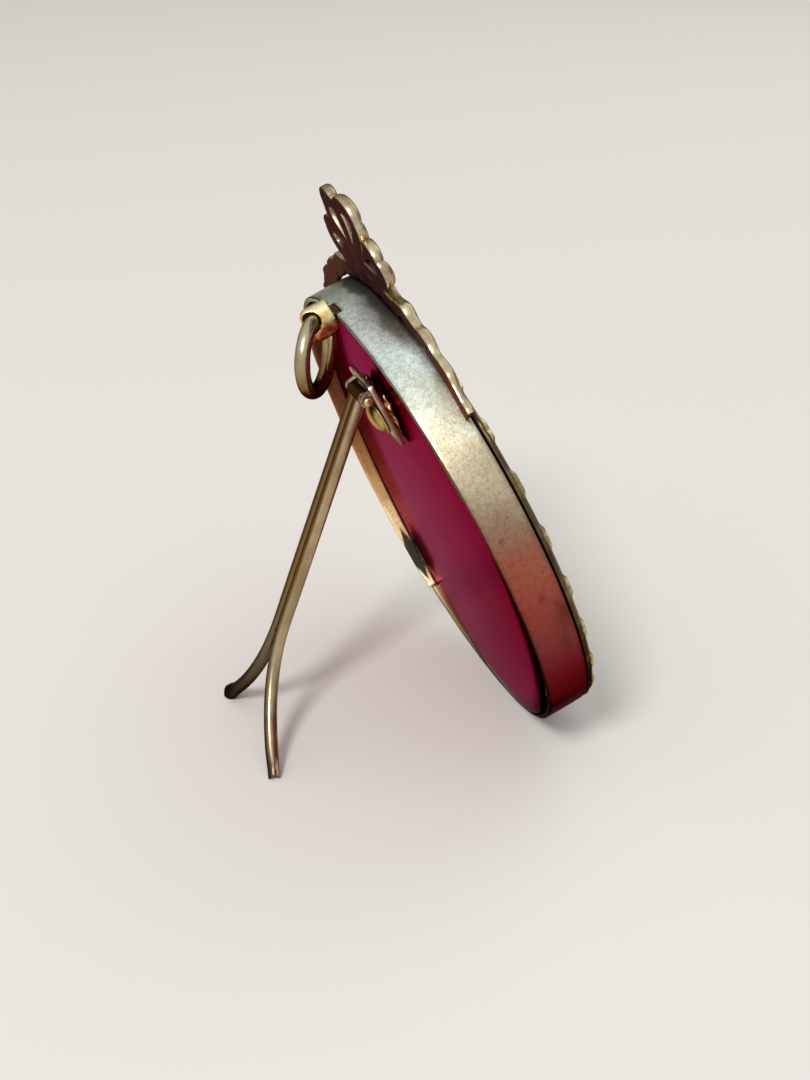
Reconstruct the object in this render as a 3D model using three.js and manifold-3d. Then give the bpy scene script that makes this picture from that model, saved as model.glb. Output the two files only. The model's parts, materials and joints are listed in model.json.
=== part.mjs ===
// Round easel-backed picture frame in aged brass. A rolled band carries a relief bezel and an openwork
// ribbon bow in front, and a lacquered back plate behind. A two-legged strut folds on the back plate,
// and a loose ring hangs from a lug at the top of the band.
//
// The leaning frame has its own axes: x to the side, y up along the disc, z out of the picture's face.
// Its z is 0 at the band's rear edge. The strut and the hanging ring are placed in upright axes.
import * as THREE from 'three';
import { mergeVertices } from 'three/addons/utils/BufferGeometryUtils.js';
import Module from 'manifold-3d';

const wasm = await Module();
wasm.setup();

// Driving dimensions, in millimetres and degrees.
const GAP = 0.3; // air left between neighbouring pieces
const LEAN = 22.3; // how far the disc leans back from upright
const ROUND_STEPS = 96; // facets round the band
const INNER_STEPS = 48; // facets round the discs inside it

const BAND_RADIUS = 45;
const BAND_WALL = 0.9;
const BAND_DEPTH = 7.9;

const BEZEL_SIGHT_RADIUS = 37.4; // radius of the visible picture
const BEZEL_RADIUS = 45.1;
const BEZEL_HEIGHT = 1.3; // to the top of the border, between the ties
const BEZEL_LIP = 0.7; // thickness at the sight edge
const TIE_COUNT = 28; // ribbon ties round the border
const TIE_HEIGHT = 0.45;
const TIE_SHARE = 0.42; // share of the border that the ties cover
const TIE_TURN = 2; // first tie from the top, towards the right

const GLASS_THICKNESS = 1.5;
const MOUNT_THICKNESS = 0.5;
const MOUNT_WINDOW_RADIUS = 35;
const PICTURE_THICKNESS = 0.4;
const BACKING_THICKNESS = 0.8;
const STACK_RADIUS = BAND_RADIUS - BAND_WALL - 0.5;

const BACK_THICKNESS = 0.8;
const BACK_RECESS = 1.3; // rear edge of the band to the back plate, at the disc's centre
const BACK_TILT = 1.9; // the plate sits deeper at the top than at the bottom
const BACK_SKEW = 1.7; // and deeper on the right than on the left

const STRIP_THICKNESS = 1.0;
const STRIP_RISE = 0.3; // strip's rear edge behind the band's, at the disc's centre
const STRIP_TILT = 0.75; // the strip stands further out towards its lower end
const STRIP_LEFT_END = 60; // angle from the top to the end on the left
const STRIP_RIGHT_END = 143;

const CREST_KNOT_Y = 51.2;
const CREST_REAR_Z = BAND_DEPTH - 0.2;
const CREST_THICKNESS = 2.2;
const RIBBON_HALF_WIDTH = 1.85;
const UPPER_LOOP = { turn: 23, length: 11.4, bulge: 5.2 };
const SIDE_LOOP = { turn: 83, length: 11.9, bulge: 4.3 };
const KNOT_RADIUS = 2.9;
const TAIL_END = 46; // angle from the top to the tip of each ribbon tail
const TAIL_RADIUS = 47.8;
const TAIL_WAVE = 0.35;
const TAIL_HALF_WIDTH = 2.2;

const HINGE_Y = 28.3; // pin's place on the leaning disc
const HINGE_Z = -1.6;
const PIN_RADIUS = 0.55;
const PIN_CLEARANCE = 0.09;
const PIN_HEAD_RADIUS = 0.85;
const KNUCKLE_INNER_X = 3.3;
const KNUCKLE_WIDTH = 1.2;
const KNUCKLE_RADIUS = 1.1;
const PLATE_WIDTH = 11.6;
const PLATE_TOP_Y = 31.3;
const PLATE_BOTTOM_Y = 17.4;
const PLATE_THICKNESS = 0.9;
const PLATE_TILT = 7; // the plate stands away from the back at its top
const BOSS_Y = 22.4;
const BOSS_RADIUS = 3.0;
const BOSS_HEIGHT = 1.9;
const BRIM_RADIUS = 3.8; // thin brim round the boss
const BRIM_HEIGHT = 0.35;

const ROD_RADIUS = 1.1;
const ROD_OFFSET_X = 1.25; // half the distance between the two rods
const HEAD_RADIUS = 1.25;
const FOOT_X = 18.8;
const FOOT_TUCK = 1.6; // the feet curl in under the strut's line
const STRUT_ANGLE = 42.4; // open strut to the disc
const FORK_SHARE = 0.62; // share of the strut's length where the rods part
const SPLAY_POWER = 2.2;
const ROD_STEPS = 30;

const LUG_Y = 44.1;
const LUG_RADIUS = 3.3;
const LUG_FLATTEN = 0.76; // width of the lug over its height
const LUG_REAR_Z = -5.5;
const LUG_ROUNDING = 1.4;
const TENON_WIDTH = 4.2;
const TENON_DEPTH = 1.9;
const TENON_TOP_Y = 45.4;
const HOLE_Y = 44.9;
const HOLE_Z = -3.2;

const RING_RADIUS = 6.5; // centre line
const RING_WIRE_RADIUS = 1.35;
const RING_YAW = 40; // the left side hangs turned away from the disc

const rad = THREE.MathUtils.degToRad;

const brass = (color, roughness) => new THREE.MeshStandardMaterial({ color, roughness, metalness: 1 });
const finishes = {
  band: brass('#a58b52', 0.42),
  bezel: brass('#9c8148', 0.4),
  crest: brass('#8f7442', 0.45),
  strip: brass('#b08a4c', 0.45),
  hinge: brass('#96743f', 0.4),
  rivet: brass('#b3924e', 0.35),
  strut: brass('#8d7139', 0.38),
  lug: brass('#b98f4a', 0.35),
  ring: brass('#937446', 0.32),
  glass: new THREE.MeshStandardMaterial({
    color: '#e8efec', roughness: 0.05, transparent: true, opacity: 0.25,
  }),
  lacquer: new THREE.MeshStandardMaterial({ color: '#5a1024', roughness: 0.2 }),
  paper: new THREE.MeshStandardMaterial({ color: '#e6dcc4', roughness: 0.9 }),
  card: new THREE.MeshStandardMaterial({ color: '#a98f6b', roughness: 0.95 }),
};

// A closed solid from a closed geometry, and back again.
function solidOf(geometry) {
  const bare = geometry.clone();
  bare.deleteAttribute('normal');
  bare.deleteAttribute('uv');
  const merged = mergeVertices(bare, 1e-4);
  return new wasm.Manifold(new wasm.Mesh({
    numProp: 3,
    vertProperties: new Float32Array(merged.attributes.position.array),
    triVerts: new Uint32Array(merged.index.array),
  }));
}

function geometryOf(solid) {
  const { vertProperties, triVerts } = solid.getMesh();
  const geometry = new THREE.BufferGeometry();
  geometry.setAttribute('position', new THREE.BufferAttribute(vertProperties, 3));
  geometry.setIndex(new THREE.BufferAttribute(triVerts, 1));
  geometry.computeVertexNormals();
  return geometry;
}

function piece(name, geometry, material, parent) {
  const mesh = new THREE.Mesh(geometry, material);
  mesh.name = name;
  parent.add(mesh);
  return mesh;
}

// A profile of [radius, z] points turned about the disc's own axis, with a facet at the bottom.
function turned(profile, steps = ROUND_STEPS) {
  const points = profile.map(([r, z]) => new THREE.Vector2(r, z));
  return new THREE.LatheGeometry(points, steps, Math.PI / steps).rotateX(Math.PI / 2);
}

function disc(radius, rearZ, thickness, steps) {
  const frontZ = rearZ + thickness;
  return turned([[0, rearZ], [radius, rearZ], [radius, frontZ], [0, frontZ]], steps);
}

function ring(inner, outer, rearZ, frontZ, steps) {
  return turned([[inner, rearZ], [outer, rearZ], [outer, frontZ], [inner, frontZ], [inner, rearZ]], steps);
}

function block(width, bottomY, topY, rearZ, frontZ) {
  const geometry = new THREE.BoxGeometry(width, topY - bottomY, frontZ - rearZ);
  return geometry.translate(0, (topY + bottomY) / 2, (frontZ + rearZ) / 2);
}

const model = new THREE.Group();
const frame = new THREE.Group();
model.add(frame);
frame.rotation.x = rad(90 - LEAN);
const contactRadius = BAND_RADIUS * Math.cos(Math.PI / ROUND_STEPS);
frame.position.set(0, contactRadius * Math.sin(rad(LEAN)), contactRadius * Math.cos(rad(LEAN)));
frame.updateMatrixWorld();
const upright = (x, y, z) => new THREE.Vector3(x, y, z).applyMatrix4(frame.matrixWorld);

// The band is a plain hoop with a notch for the lug's tenon.
{
  const hoop = solidOf(ring(BAND_RADIUS - BAND_WALL, BAND_RADIUS, 0, BAND_DEPTH));
  const notch = solidOf(block(TENON_WIDTH + 2 * GAP, LUG_Y - 1, TENON_TOP_Y + 1, -1, TENON_DEPTH + GAP));
  piece('rim_band', geometryOf(hoop.subtract(notch)), finishes.band, frame);
}

// The bezel's section is a sight lip, a hollow and a rounded border that rises where ribbons tie it.
{
  const rear = BAND_DEPTH + GAP;
  const top = rear + BEZEL_HEIGHT;
  const borderRadius = BEZEL_RADIUS - 1.3;
  const profile = [
    [BEZEL_SIGHT_RADIUS, rear], [BEZEL_RADIUS - 0.2, rear], [BEZEL_RADIUS, rear + 0.4],
    [BEZEL_RADIUS - 0.4, top - 0.25], [borderRadius, top], [borderRadius - 1.4, top - 0.4],
    [BEZEL_SIGHT_RADIUS + 2.6, rear + BEZEL_LIP], [BEZEL_SIGHT_RADIUS + 1.6, rear + BEZEL_LIP + 0.5],
    [BEZEL_SIGHT_RADIUS + 0.4, rear + BEZEL_LIP + 0.2], [BEZEL_SIGHT_RADIUS, rear],
  ];
  const bezel = turned(profile, 4 * TIE_COUNT);
  const place = bezel.attributes.position;
  for (let i = 0; i < place.count; i += 1) {
    const radius = Math.hypot(place.getX(i), place.getY(i));
    const turn = Math.atan2(place.getX(i), place.getY(i)) / (2 * Math.PI) * TIE_COUNT;
    const inTie = Math.abs(turn - Math.round(turn)) < TIE_SHARE / 2;
    if (inTie && radius > borderRadius - 1.5 && place.getZ(i) > top - 0.45) {
      place.setZ(i, place.getZ(i) + TIE_HEIGHT);
    }
  }
  piece('front_bezel', bezel.rotateZ(-rad(TIE_TURN)), finishes.bezel, frame);
}

// A flat ribbon: a strip of varying width about a line of points, cut from plate.
function ribbon(line, halfWidth, thickness) {
  const left = [];
  const right = [];
  line.forEach((point, i) => {
    const before = line[Math.max(i - 1, 0)];
    const after = line[Math.min(i + 1, line.length - 1)];
    const along = after.clone().sub(before).normalize();
    const side = new THREE.Vector2(-along.y, along.x).multiplyScalar(halfWidth(i / (line.length - 1)));
    left.push(point.clone().add(side));
    right.push(point.clone().sub(side));
  });
  const outline = new THREE.Shape(right.concat(left.reverse()));
  return new THREE.ExtrudeGeometry(outline, { depth: thickness, bevelEnabled: false });
}

// Half of a teardrop loop that starts at the knot and ends at the loop's tip.
function loopHalf({ turn, length, bulge }, hand, half, steps = 10) {
  const line = [];
  for (let i = 0; i <= steps; i += 1) {
    const swing = Math.PI * i / steps;
    const along = length * (1 - Math.cos(swing)) / 2;
    const aside = half * bulge * Math.sin(swing) * Math.sin(swing / 2) ** 2;
    const a = rad(turn);
    line.push(new THREE.Vector2(
      hand * (along * Math.sin(a) + aside * Math.cos(a)),
      CREST_KNOT_Y + along * Math.cos(a) - aside * Math.sin(a),
    ));
  }
  return line;
}

// A ribbon tail that follows the rim from the top down to its tip, in a slow wave.
function tailLine(hand, steps = 24) {
  const line = [];
  for (let i = 0; i <= steps; i += 1) {
    const part = i / steps;
    const radius = TAIL_RADIUS + TAIL_WAVE * Math.sin(3 * Math.PI * part);
    const turn = rad(TAIL_END) * part;
    line.push(new THREE.Vector2(hand * radius * Math.sin(turn), radius * Math.cos(turn)));
  }
  return line;
}

// The crest joins two upper loops, two side loops, the knot and the tails, and clears the bezel's edge.
{
  const loopWidth = (part) => RIBBON_HALF_WIDTH * (0.75 + 0.25 * part);
  const tailWidth = (part) => TAIL_HALF_WIDTH * (1 - 0.55 * part ** 4);
  const lines = [];
  for (const hand of [-1, 1]) {
    for (const half of [-1, 1]) {
      lines.push([loopHalf(UPPER_LOOP, hand, half), loopWidth]);
      lines.push([loopHalf(SIDE_LOOP, hand, half), loopWidth]);
    }
    lines.push([tailLine(hand), tailWidth]);
  }
  const knot = new THREE.SphereGeometry(KNOT_RADIUS, 16, 10).scale(1, 0.9, 0.42);
  knot.translate(0, CREST_KNOT_Y, CREST_THICKNESS - 0.3);
  let crest = solidOf(knot);
  const stem = block(2 * KNOT_RADIUS, TAIL_RADIUS, CREST_KNOT_Y, 0, CREST_THICKNESS);
  crest = crest.add(solidOf(stem));
  for (const [line, width] of lines) {
    crest = crest.add(solidOf(ribbon(line, width, CREST_THICKNESS)));
  }
  const clearance = solidOf(disc(BEZEL_RADIUS + GAP, -1, CREST_THICKNESS + 3));
  const bow = geometryOf(crest.subtract(clearance));
  bow.translate(0, 0, CREST_REAR_Z);
  piece('bow_crest', bow, finishes.crest, frame);
}

// Behind the bezel lie the glass, the sight mount, the picture and its backing, front to rear.
{
  let front = BAND_DEPTH;
  const stack = (name, thickness, material, windowRadius) => {
    const rear = front - thickness;
    const shape = windowRadius ? ring(windowRadius, STACK_RADIUS, rear, front, INNER_STEPS)
      : disc(STACK_RADIUS, rear, thickness, INNER_STEPS);
    piece(name, shape, material, frame);
    front = rear - GAP / 2;
  };
  stack('glass_disc', GLASS_THICKNESS, finishes.glass);
  stack('sight_mount', MOUNT_THICKNESS, finishes.paper, MOUNT_WINDOW_RADIUS);
  stack('picture_card', PICTURE_THICKNESS, finishes.paper);
  stack('backing_card', BACKING_THICKNESS, finishes.card);
}

// The back plate and what is fixed to it tilt a little in the band. Here z is 0 on the plate's rear face.
const back = new THREE.Group();
frame.add(back);
back.position.z = BACK_RECESS;
back.rotation.set(rad(BACK_TILT), -rad(BACK_SKEW), 0);
back.updateMatrixWorld();
const backPlace = (y, z) => back.worldToLocal(upright(0, y, z));

piece('back_plate', disc(STACK_RADIUS - 0.2, 0, BACK_THICKNESS), finishes.lacquer, back);

// The retaining strip is an open ring between the back plate and the band's rear edge.
{
  const outer = BAND_RADIUS - BAND_WALL - GAP;
  const inner = outer - STRIP_THICKNESS;
  const start = rad(90 - STRIP_RIGHT_END);
  const end = rad(90 + STRIP_LEFT_END);
  const outline = new THREE.Shape();
  outline.absarc(0, 0, outer, start, end, false);
  outline.absarc(0, 0, inner, end, start, true);
  const strip = new THREE.ExtrudeGeometry(outline, { depth: 10, bevelEnabled: false, curveSegments: 56 });
  strip.translate(0, 0, -5);
  const slab = () => new THREE.BoxGeometry(4 * BAND_RADIUS, 4 * BAND_RADIUS, 20);
  const inFront = slab().translate(0, 0, 10 - GAP).applyMatrix4(back.matrix);
  const behind = slab().translate(0, 0, -10).rotateX(rad(STRIP_TILT)).translate(0, 0, -STRIP_RISE);
  const cut = solidOf(strip).subtract(solidOf(inFront)).subtract(solidOf(behind));
  piece('retaining_strip', geometryOf(cut), finishes.strip, frame);
}

// The hinge plate leans away from the back plate. Knuckles hold the pin beside a window for the strut.
const pin = backPlace(HINGE_Y, HINGE_Z);
const hingeLeaf = new THREE.Group();
back.add(hingeLeaf);
hingeLeaf.position.set(0, PLATE_BOTTOM_Y, -GAP);
hingeLeaf.rotation.x = -rad(PLATE_TILT);
hingeLeaf.updateMatrixWorld();
const leafPin = hingeLeaf.worldToLocal(back.localToWorld(pin.clone()));
{
  const half = PLATE_WIDTH / 2;
  const corner = 1;
  const length = PLATE_TOP_Y - PLATE_BOTTOM_Y;
  const outline = new THREE.Shape();
  outline.absarc(half - corner, length - corner, corner, 0, Math.PI / 2);
  outline.absarc(corner - half, length - corner, corner, Math.PI / 2, Math.PI);
  outline.absarc(corner - half, corner, corner, Math.PI, 1.5 * Math.PI);
  outline.absarc(half - corner, corner, corner, 1.5 * Math.PI, 2 * Math.PI);
  const plate = new THREE.ExtrudeGeometry(outline, {
    depth: PLATE_THICKNESS, bevelEnabled: false, curveSegments: 5,
  });
  let leaf = solidOf(plate.translate(0, 0, -PLATE_THICKNESS));

  const round = (radius, width) => (
    new THREE.CylinderGeometry(radius, radius, width, 24).rotateZ(Math.PI / 2)
  );
  for (const hand of [-1, 1]) {
    const x = hand * (KNUCKLE_INNER_X + KNUCKLE_WIDTH / 2);
    const eye = round(KNUCKLE_RADIUS, KNUCKLE_WIDTH).translate(x, leafPin.y, leafPin.z);
    const root = new THREE.BoxGeometry(KNUCKLE_WIDTH, KNUCKLE_RADIUS, -leafPin.z - PLATE_THICKNESS / 2);
    root.translate(x, leafPin.y + KNUCKLE_RADIUS / 2, (leafPin.z - PLATE_THICKNESS / 2) / 2);
    leaf = leaf.add(solidOf(eye)).add(solidOf(root));
  }
  const windowTop = leafPin.y + HEAD_RADIUS;
  const window = block(2 * KNUCKLE_INNER_X, leafPin.y - 2 * HEAD_RADIUS, windowTop, -BAND_DEPTH, BAND_DEPTH);
  const pinHole = round(PIN_RADIUS + PIN_CLEARANCE, 3 * PLATE_WIDTH).translate(0, leafPin.y, leafPin.z);
  leaf = leaf.subtract(solidOf(window)).subtract(solidOf(pinHole));
  piece('hinge_plate', geometryOf(leaf), finishes.hinge, hingeLeaf);
}

// The pin is peened over outside both knuckles.
{
  const headStart = KNUCKLE_INNER_X + KNUCKLE_WIDTH + GAP / 2;
  const headEnd = headStart + 0.6;
  const half = [
    [PIN_RADIUS, headStart], [PIN_HEAD_RADIUS, headStart], [PIN_HEAD_RADIUS, headEnd - 0.3],
    [0.7 * PIN_HEAD_RADIUS, headEnd], [0, headEnd],
  ];
  const mirrored = half.map(([radius, along]) => [radius, -along]).reverse();
  const profile = [...mirrored, ...half];
  const hingePin = turned(profile, 20).rotateY(Math.PI / 2).translate(0, leafPin.y, leafPin.z);
  piece('hinge_pin', hingePin, finishes.rivet, hingeLeaf);
}

// The boss is a domed rivet head with a brim, which fixes the hinge plate.
{
  const profile = [[0, -BOSS_HEIGHT]];
  const steps = 6;
  for (let i = 1; i <= steps; i += 1) {
    const swing = Math.PI / 2 * i / steps;
    const drop = (BOSS_HEIGHT - BRIM_HEIGHT) * Math.cos(swing);
    profile.push([BOSS_RADIUS * Math.sin(swing), -BRIM_HEIGHT - drop]);
  }
  profile.push([BRIM_RADIUS, -BRIM_HEIGHT], [BRIM_RADIUS, 0], [0, 0]);
  const boss = turned(profile, 24).translate(0, BOSS_Y - PLATE_BOTTOM_Y, -PLATE_THICKNESS - GAP / 2);
  piece('hinge_boss', boss, finishes.rivet, hingeLeaf);
}

// The strut, in upright axes: a barrel on the pin and two rods that part above the feet.
{
  const hinge = upright(0, HINGE_Y, HINGE_Z);
  const fall = rad(STRUT_ANGLE - LEAN); // strut to the vertical
  const length = hinge.z / Math.cos(fall) + 2 * ROD_RADIUS;
  const alongStrut = (distance, splay) => new THREE.Vector3(
    ROD_OFFSET_X + (FOOT_X - ROD_OFFSET_X) * splay,
    hinge.y + distance * Math.sin(fall) - FOOT_TUCK * splay,
    hinge.z - distance * Math.cos(fall),
  );

  const halfLength = KNUCKLE_INNER_X - GAP;
  const bore = PIN_RADIUS + PIN_CLEARANCE;
  const barrel = ring(bore, HEAD_RADIUS, -halfLength, halfLength, 24);
  barrel.rotateY(Math.PI / 2).translate(hinge.x, hinge.y, hinge.z);
  piece('strut_head', barrel, finishes.strut, model);

  const floor = new THREE.BoxGeometry(200, 200, 20).translate(0, 0, -10);
  const section = new THREE.Shape().absarc(0, 0, ROD_RADIUS, 0, 2 * Math.PI);
  for (const [name, hand] of [['strut_rod_left', -1], ['strut_rod_right', 1]]) {
    const line = [];
    const first = HEAD_RADIUS + GAP / 2;
    for (let i = 0; i <= ROD_STEPS; i += 1) {
      const distance = first + (length - first) * i / ROD_STEPS;
      const splay = Math.max(0, (distance / length - FORK_SHARE) / (1 - FORK_SHARE)) ** SPLAY_POWER;
      const point = alongStrut(distance, splay);
      line.push(point.setX(hand * point.x));
    }
    const rod = new THREE.ExtrudeGeometry(section, {
      steps: ROD_STEPS,
      curveSegments: 6,
      bevelEnabled: false,
      extrudePath: new THREE.CatmullRomCurve3(line),
    });
    piece(name, geometryOf(solidOf(rod).subtract(solidOf(floor))), finishes.strut, model);
  }
}

// The lug is a flattened post with a tenon in the band's notch. Its hole clears the swinging ring.
const ringTop = upright(0, HOLE_Y, HOLE_Z);
{
  const front = -GAP;
  const profile = [[0, LUG_REAR_Z]];
  const steps = 5;
  for (let i = 0; i <= steps; i += 1) {
    const swing = Math.PI / 2 * i / steps;
    const inset = LUG_ROUNDING * (1 - Math.sin(swing));
    profile.push([LUG_RADIUS - inset, LUG_REAR_Z + LUG_ROUNDING * (1 - Math.cos(swing))]);
  }
  profile.push([LUG_RADIUS, front], [0, front]);
  const post = turned(profile, 28).scale(LUG_FLATTEN, 1, 1).translate(0, LUG_Y, 0);
  const tenon = block(TENON_WIDTH, BAND_RADIUS - BAND_WALL + GAP, TENON_TOP_Y, -2, TENON_DEPTH);

  const reach = 5;
  const flare = [];
  const flareSteps = 12;
  for (let i = 0; i <= flareSteps; i += 1) {
    const along = reach * (2 * i / flareSteps - 1);
    const inside = RING_RADIUS - Math.sqrt((RING_RADIUS - RING_WIRE_RADIUS) ** 2 - along ** 2);
    flare.push([inside + GAP / 2, along]);
  }
  const hole = turned([[0, -reach], ...flare, [0, reach]], 24);
  hole.rotateY(Math.PI / 2).rotateZ(-rad(RING_YAW)).translate(ringTop.x, ringTop.y, ringTop.z);
  hole.applyMatrix4(frame.matrixWorld.clone().invert());
  const lug = solidOf(post).add(solidOf(tenon)).subtract(solidOf(hole));
  piece('hanging_lug', geometryOf(lug), finishes.lug, frame);
}

// The ring hangs straight down from the hole, turned a little about the vertical.
{
  const hoop = new THREE.TorusGeometry(RING_RADIUS, RING_WIRE_RADIUS, 10, 44);
  hoop.rotateX(Math.PI / 2).rotateZ(-rad(RING_YAW));
  hoop.translate(ringTop.x, ringTop.y, ringTop.z - RING_RADIUS);
  piece('hanging_ring', hoop, finishes.ring, model);
}

// The origin is on the ground, under the middle of the whole piece.
const extent = new THREE.Box3().setFromObject(model, true);
model.position.set(-(extent.min.x + extent.max.x) / 2, -(extent.min.y + extent.max.y) / 2, -extent.min.z);
model.updateMatrixWorld(true);

export default model;
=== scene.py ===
# Round easel-backed picture frame in aged brass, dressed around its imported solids.
import json
import math
import bmesh
import bpy
import numpy as np
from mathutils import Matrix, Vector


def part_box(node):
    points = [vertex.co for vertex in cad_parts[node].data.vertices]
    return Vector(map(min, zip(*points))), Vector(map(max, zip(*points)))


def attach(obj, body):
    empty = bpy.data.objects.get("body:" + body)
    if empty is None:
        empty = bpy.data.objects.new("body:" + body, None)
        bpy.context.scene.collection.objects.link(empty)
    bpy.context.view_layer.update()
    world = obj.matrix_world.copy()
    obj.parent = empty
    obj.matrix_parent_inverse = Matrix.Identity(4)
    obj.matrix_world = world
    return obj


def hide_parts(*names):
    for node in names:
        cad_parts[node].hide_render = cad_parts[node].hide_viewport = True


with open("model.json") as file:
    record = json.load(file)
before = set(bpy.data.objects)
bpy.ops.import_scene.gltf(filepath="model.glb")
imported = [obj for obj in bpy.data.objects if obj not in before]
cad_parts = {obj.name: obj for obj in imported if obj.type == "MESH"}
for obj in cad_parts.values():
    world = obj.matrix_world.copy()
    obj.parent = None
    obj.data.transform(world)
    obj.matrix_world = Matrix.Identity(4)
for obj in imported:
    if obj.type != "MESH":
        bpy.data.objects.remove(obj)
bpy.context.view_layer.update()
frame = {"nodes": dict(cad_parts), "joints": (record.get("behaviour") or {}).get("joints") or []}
mm = 0.001
mergeReach = 0.002 * mm  # points this near to each other become one
print("frame loaded,", len(frame["nodes"]), "nodes")


# Axes of the leaning disc: side runs along the hinge pin, discUp up the disc, discOut out of the picture.
discSet = dict(lean=22.3, depth=7.9)
lean = math.radians(discSet["lean"])
side = np.array([1.0, 0.0, 0.0])
discUp = np.array([0.0, math.sin(lean), math.cos(lean)])
discOut = np.array([0.0, -math.cos(lean), math.sin(lean)])
bandLow, bandHigh = (np.array(corner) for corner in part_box("rim_band"))
discMid = (bandLow + bandHigh) / 2 - discOut * discSet["depth"] * mm / 2
jointPoint = {joint["name"]: np.array(joint["pos_m"]) for joint in frame["joints"]}


def discPlace(x, y, z):  # millimetres on the disc's axes to metres in the row's frame
    x, y, z = np.broadcast_arrays(x, y, z)
    return discMid + mm * (x[..., None] * side + y[..., None] * discUp + z[..., None] * discOut)


def pointGrid(x, y, z):
    return np.stack(np.broadcast_arrays(x, y, z), axis=-1)


def fullTurn(count):  # angles all the way round
    return np.linspace(0, 2 * math.pi, count, endpoint=False)


def turnAbout(axis, degrees):  # 3 by 3 turn about axis 0 or 1
    c, s = math.cos(math.radians(degrees)), math.sin(math.radians(degrees))
    rows = {0: [[1, 0, 0], [0, c, -s], [0, s, c]], 1: [[c, 0, s], [0, 1, 0], [-s, 0, c]]}
    return np.array(rows[axis])


def smoothStep(low, high, value):
    t = np.clip((value - low) / (high - low), 0, 1)
    return t * t * (3 - 2 * t)


def gridQuads(rows, cols, closeRows, closeCols):
    i = np.arange(rows if closeRows else rows - 1)[:, None]
    j = np.arange(cols if closeCols else cols - 1)[None, :]
    nextI, nextJ = (i + 1) % rows, (j + 1) % cols
    corners = np.broadcast_arrays(i * cols + j, i * cols + nextJ, nextI * cols + nextJ, nextI * cols + j)
    return np.stack(corners, axis=-1).reshape(-1, 4)


def linkPiece(piece, body, nodes):
    bpy.context.scene.collection.objects.link(piece)
    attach(piece, body)
    if nodes:
        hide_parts(*nodes)


def mergePoints(mesh):  # and turn the faces outwards
    work = bmesh.new()
    work.from_mesh(mesh)
    bmesh.ops.remove_doubles(work, verts=work.verts, dist=mergeReach)
    bmesh.ops.recalc_face_normals(work, faces=work.faces)
    work.to_mesh(mesh)
    work.free()


def setWearAndLight(mesh, values):
    mesh.attributes.new("wearAndLight", "FLOAT", "POINT").data.foreach_set("value", values)


def pointsOf(mesh):  # (n, 3) in metres
    points = np.empty(3 * len(mesh.vertices))
    mesh.vertices.foreach_get("co", points)
    return points.reshape(-1, 3)


# A piece is one or more grids of points. Each grid says whether its rows and columns close on themselves
# and gives each point a value that makes it brighter above zero, rubbed wear in some places and painted
# highlight in others, and darker below zero, dirt in some places and painted shade in others. Seams and poles
# are merged and the faces turned outwards.
def makePiece(name, sheets, material, body, nodes, sharpAngle=180):
    points, quads, wearAndLightValues, start = [], [], [], 0
    for grid, closeRows, closeCols, wearAndLight in sheets:
        rows, cols = grid.shape[:2]
        points.append(grid.reshape(-1, 3))
        wearAndLightValues.append(np.broadcast_to(wearAndLight, (rows, cols)).ravel())
        quads.append(gridQuads(rows, cols, closeRows, closeCols) + start)
        start += rows * cols
    mesh = bpy.data.meshes.new(name)
    mesh.from_pydata(np.concatenate(points).tolist(), [], np.concatenate(quads).tolist())
    setWearAndLight(mesh, np.concatenate(wearAndLightValues))
    mergePoints(mesh)
    mesh.shade_smooth()
    mesh.set_sharp_from_angle(angle=math.radians(sharpAngle))
    mesh.materials.append(material)
    linkPiece(bpy.data.objects.new(name, mesh), body, nodes)


# A copy of a solid, merged and finished by modifiers that are then made its mesh.
def copyPiece(node, name, modifiers, material, body, sharpAngle=180):
    mesh = frame["nodes"][node].data.copy()
    mergePoints(mesh)
    piece = bpy.data.objects.new(name, mesh)
    linkPiece(piece, body, [node])
    for kind, settings in modifiers:
        modifier = piece.modifiers.new(kind.lower(), kind)
        for key, value in settings.items():
            setattr(modifier, key, value)
    finished = piece.evaluated_get(bpy.context.evaluated_depsgraph_get())
    piece.data = bpy.data.meshes.new_from_object(finished)
    piece.modifiers.clear()
    piece.data.materials.clear()
    piece.data.materials.append(material)
    piece.data.shade_smooth()
    piece.data.set_sharp_from_angle(angle=math.radians(sharpAngle))
    return piece


# Outline of a rounded bar as a closed loop of (across, along) points, from (-width/2, 0) to (width/2, depth).
def roundedLoop(width, depth, corner, perSide=8, perCorner=5):
    reach = width / 2 - corner
    centres = [(reach, corner, -90), (reach, depth - corner, 0),
               (-reach, depth - corner, 90), (-reach, corner, 180)]
    arcs = []
    for x, y, degrees in centres:
        turns = np.linspace(0, math.pi / 2, perCorner) + math.radians(degrees)
        arcs.append(np.stack([x + corner * np.cos(turns), y + corner * np.sin(turns)], 1))
    share = np.linspace(0, 1, perSide + 1)[1:-1, None]
    loop = []
    for arc, following in zip(arcs, arcs[1:] + arcs[:1]):
        loop += [arc, arc[-1] * (1 - share) + following[0] * share]
    return np.concatenate(loop)


# Rings of points round a line: each row is a section, and the two ends close to a point.
def closeEnds(rings):
    first = np.broadcast_to(rings[:1].mean(axis=1, keepdims=True), rings[:1].shape)
    last = np.broadcast_to(rings[-1:].mean(axis=1, keepdims=True), rings[-1:].shape)
    return np.concatenate([first, rings, last])


def linear(code):  # sRGB hex to a linear colour
    value = np.array([int(code[k:k + 2], 16) for k in (1, 3, 5)]) / 255
    value = np.where(value <= 0.04045, value / 12.92, ((value + 0.055) / 1.055) ** 2.4)
    return (*value.tolist(), 1.0)


def setInputs(tree, node, inputs):  # an input takes a value or another node's output
    for key, value in inputs.items():
        if isinstance(value, bpy.types.NodeSocket):
            tree.links.new(value, node.inputs[key])
        else:
            node.inputs[key].default_value = value


def addNode(tree, kind, inputs=None, **settings):
    node = tree.nodes.new("ShaderNode" + kind)
    for key, value in settings.items():
        setattr(node, key, value)
    setInputs(tree, node, inputs or {})
    return node


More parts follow.
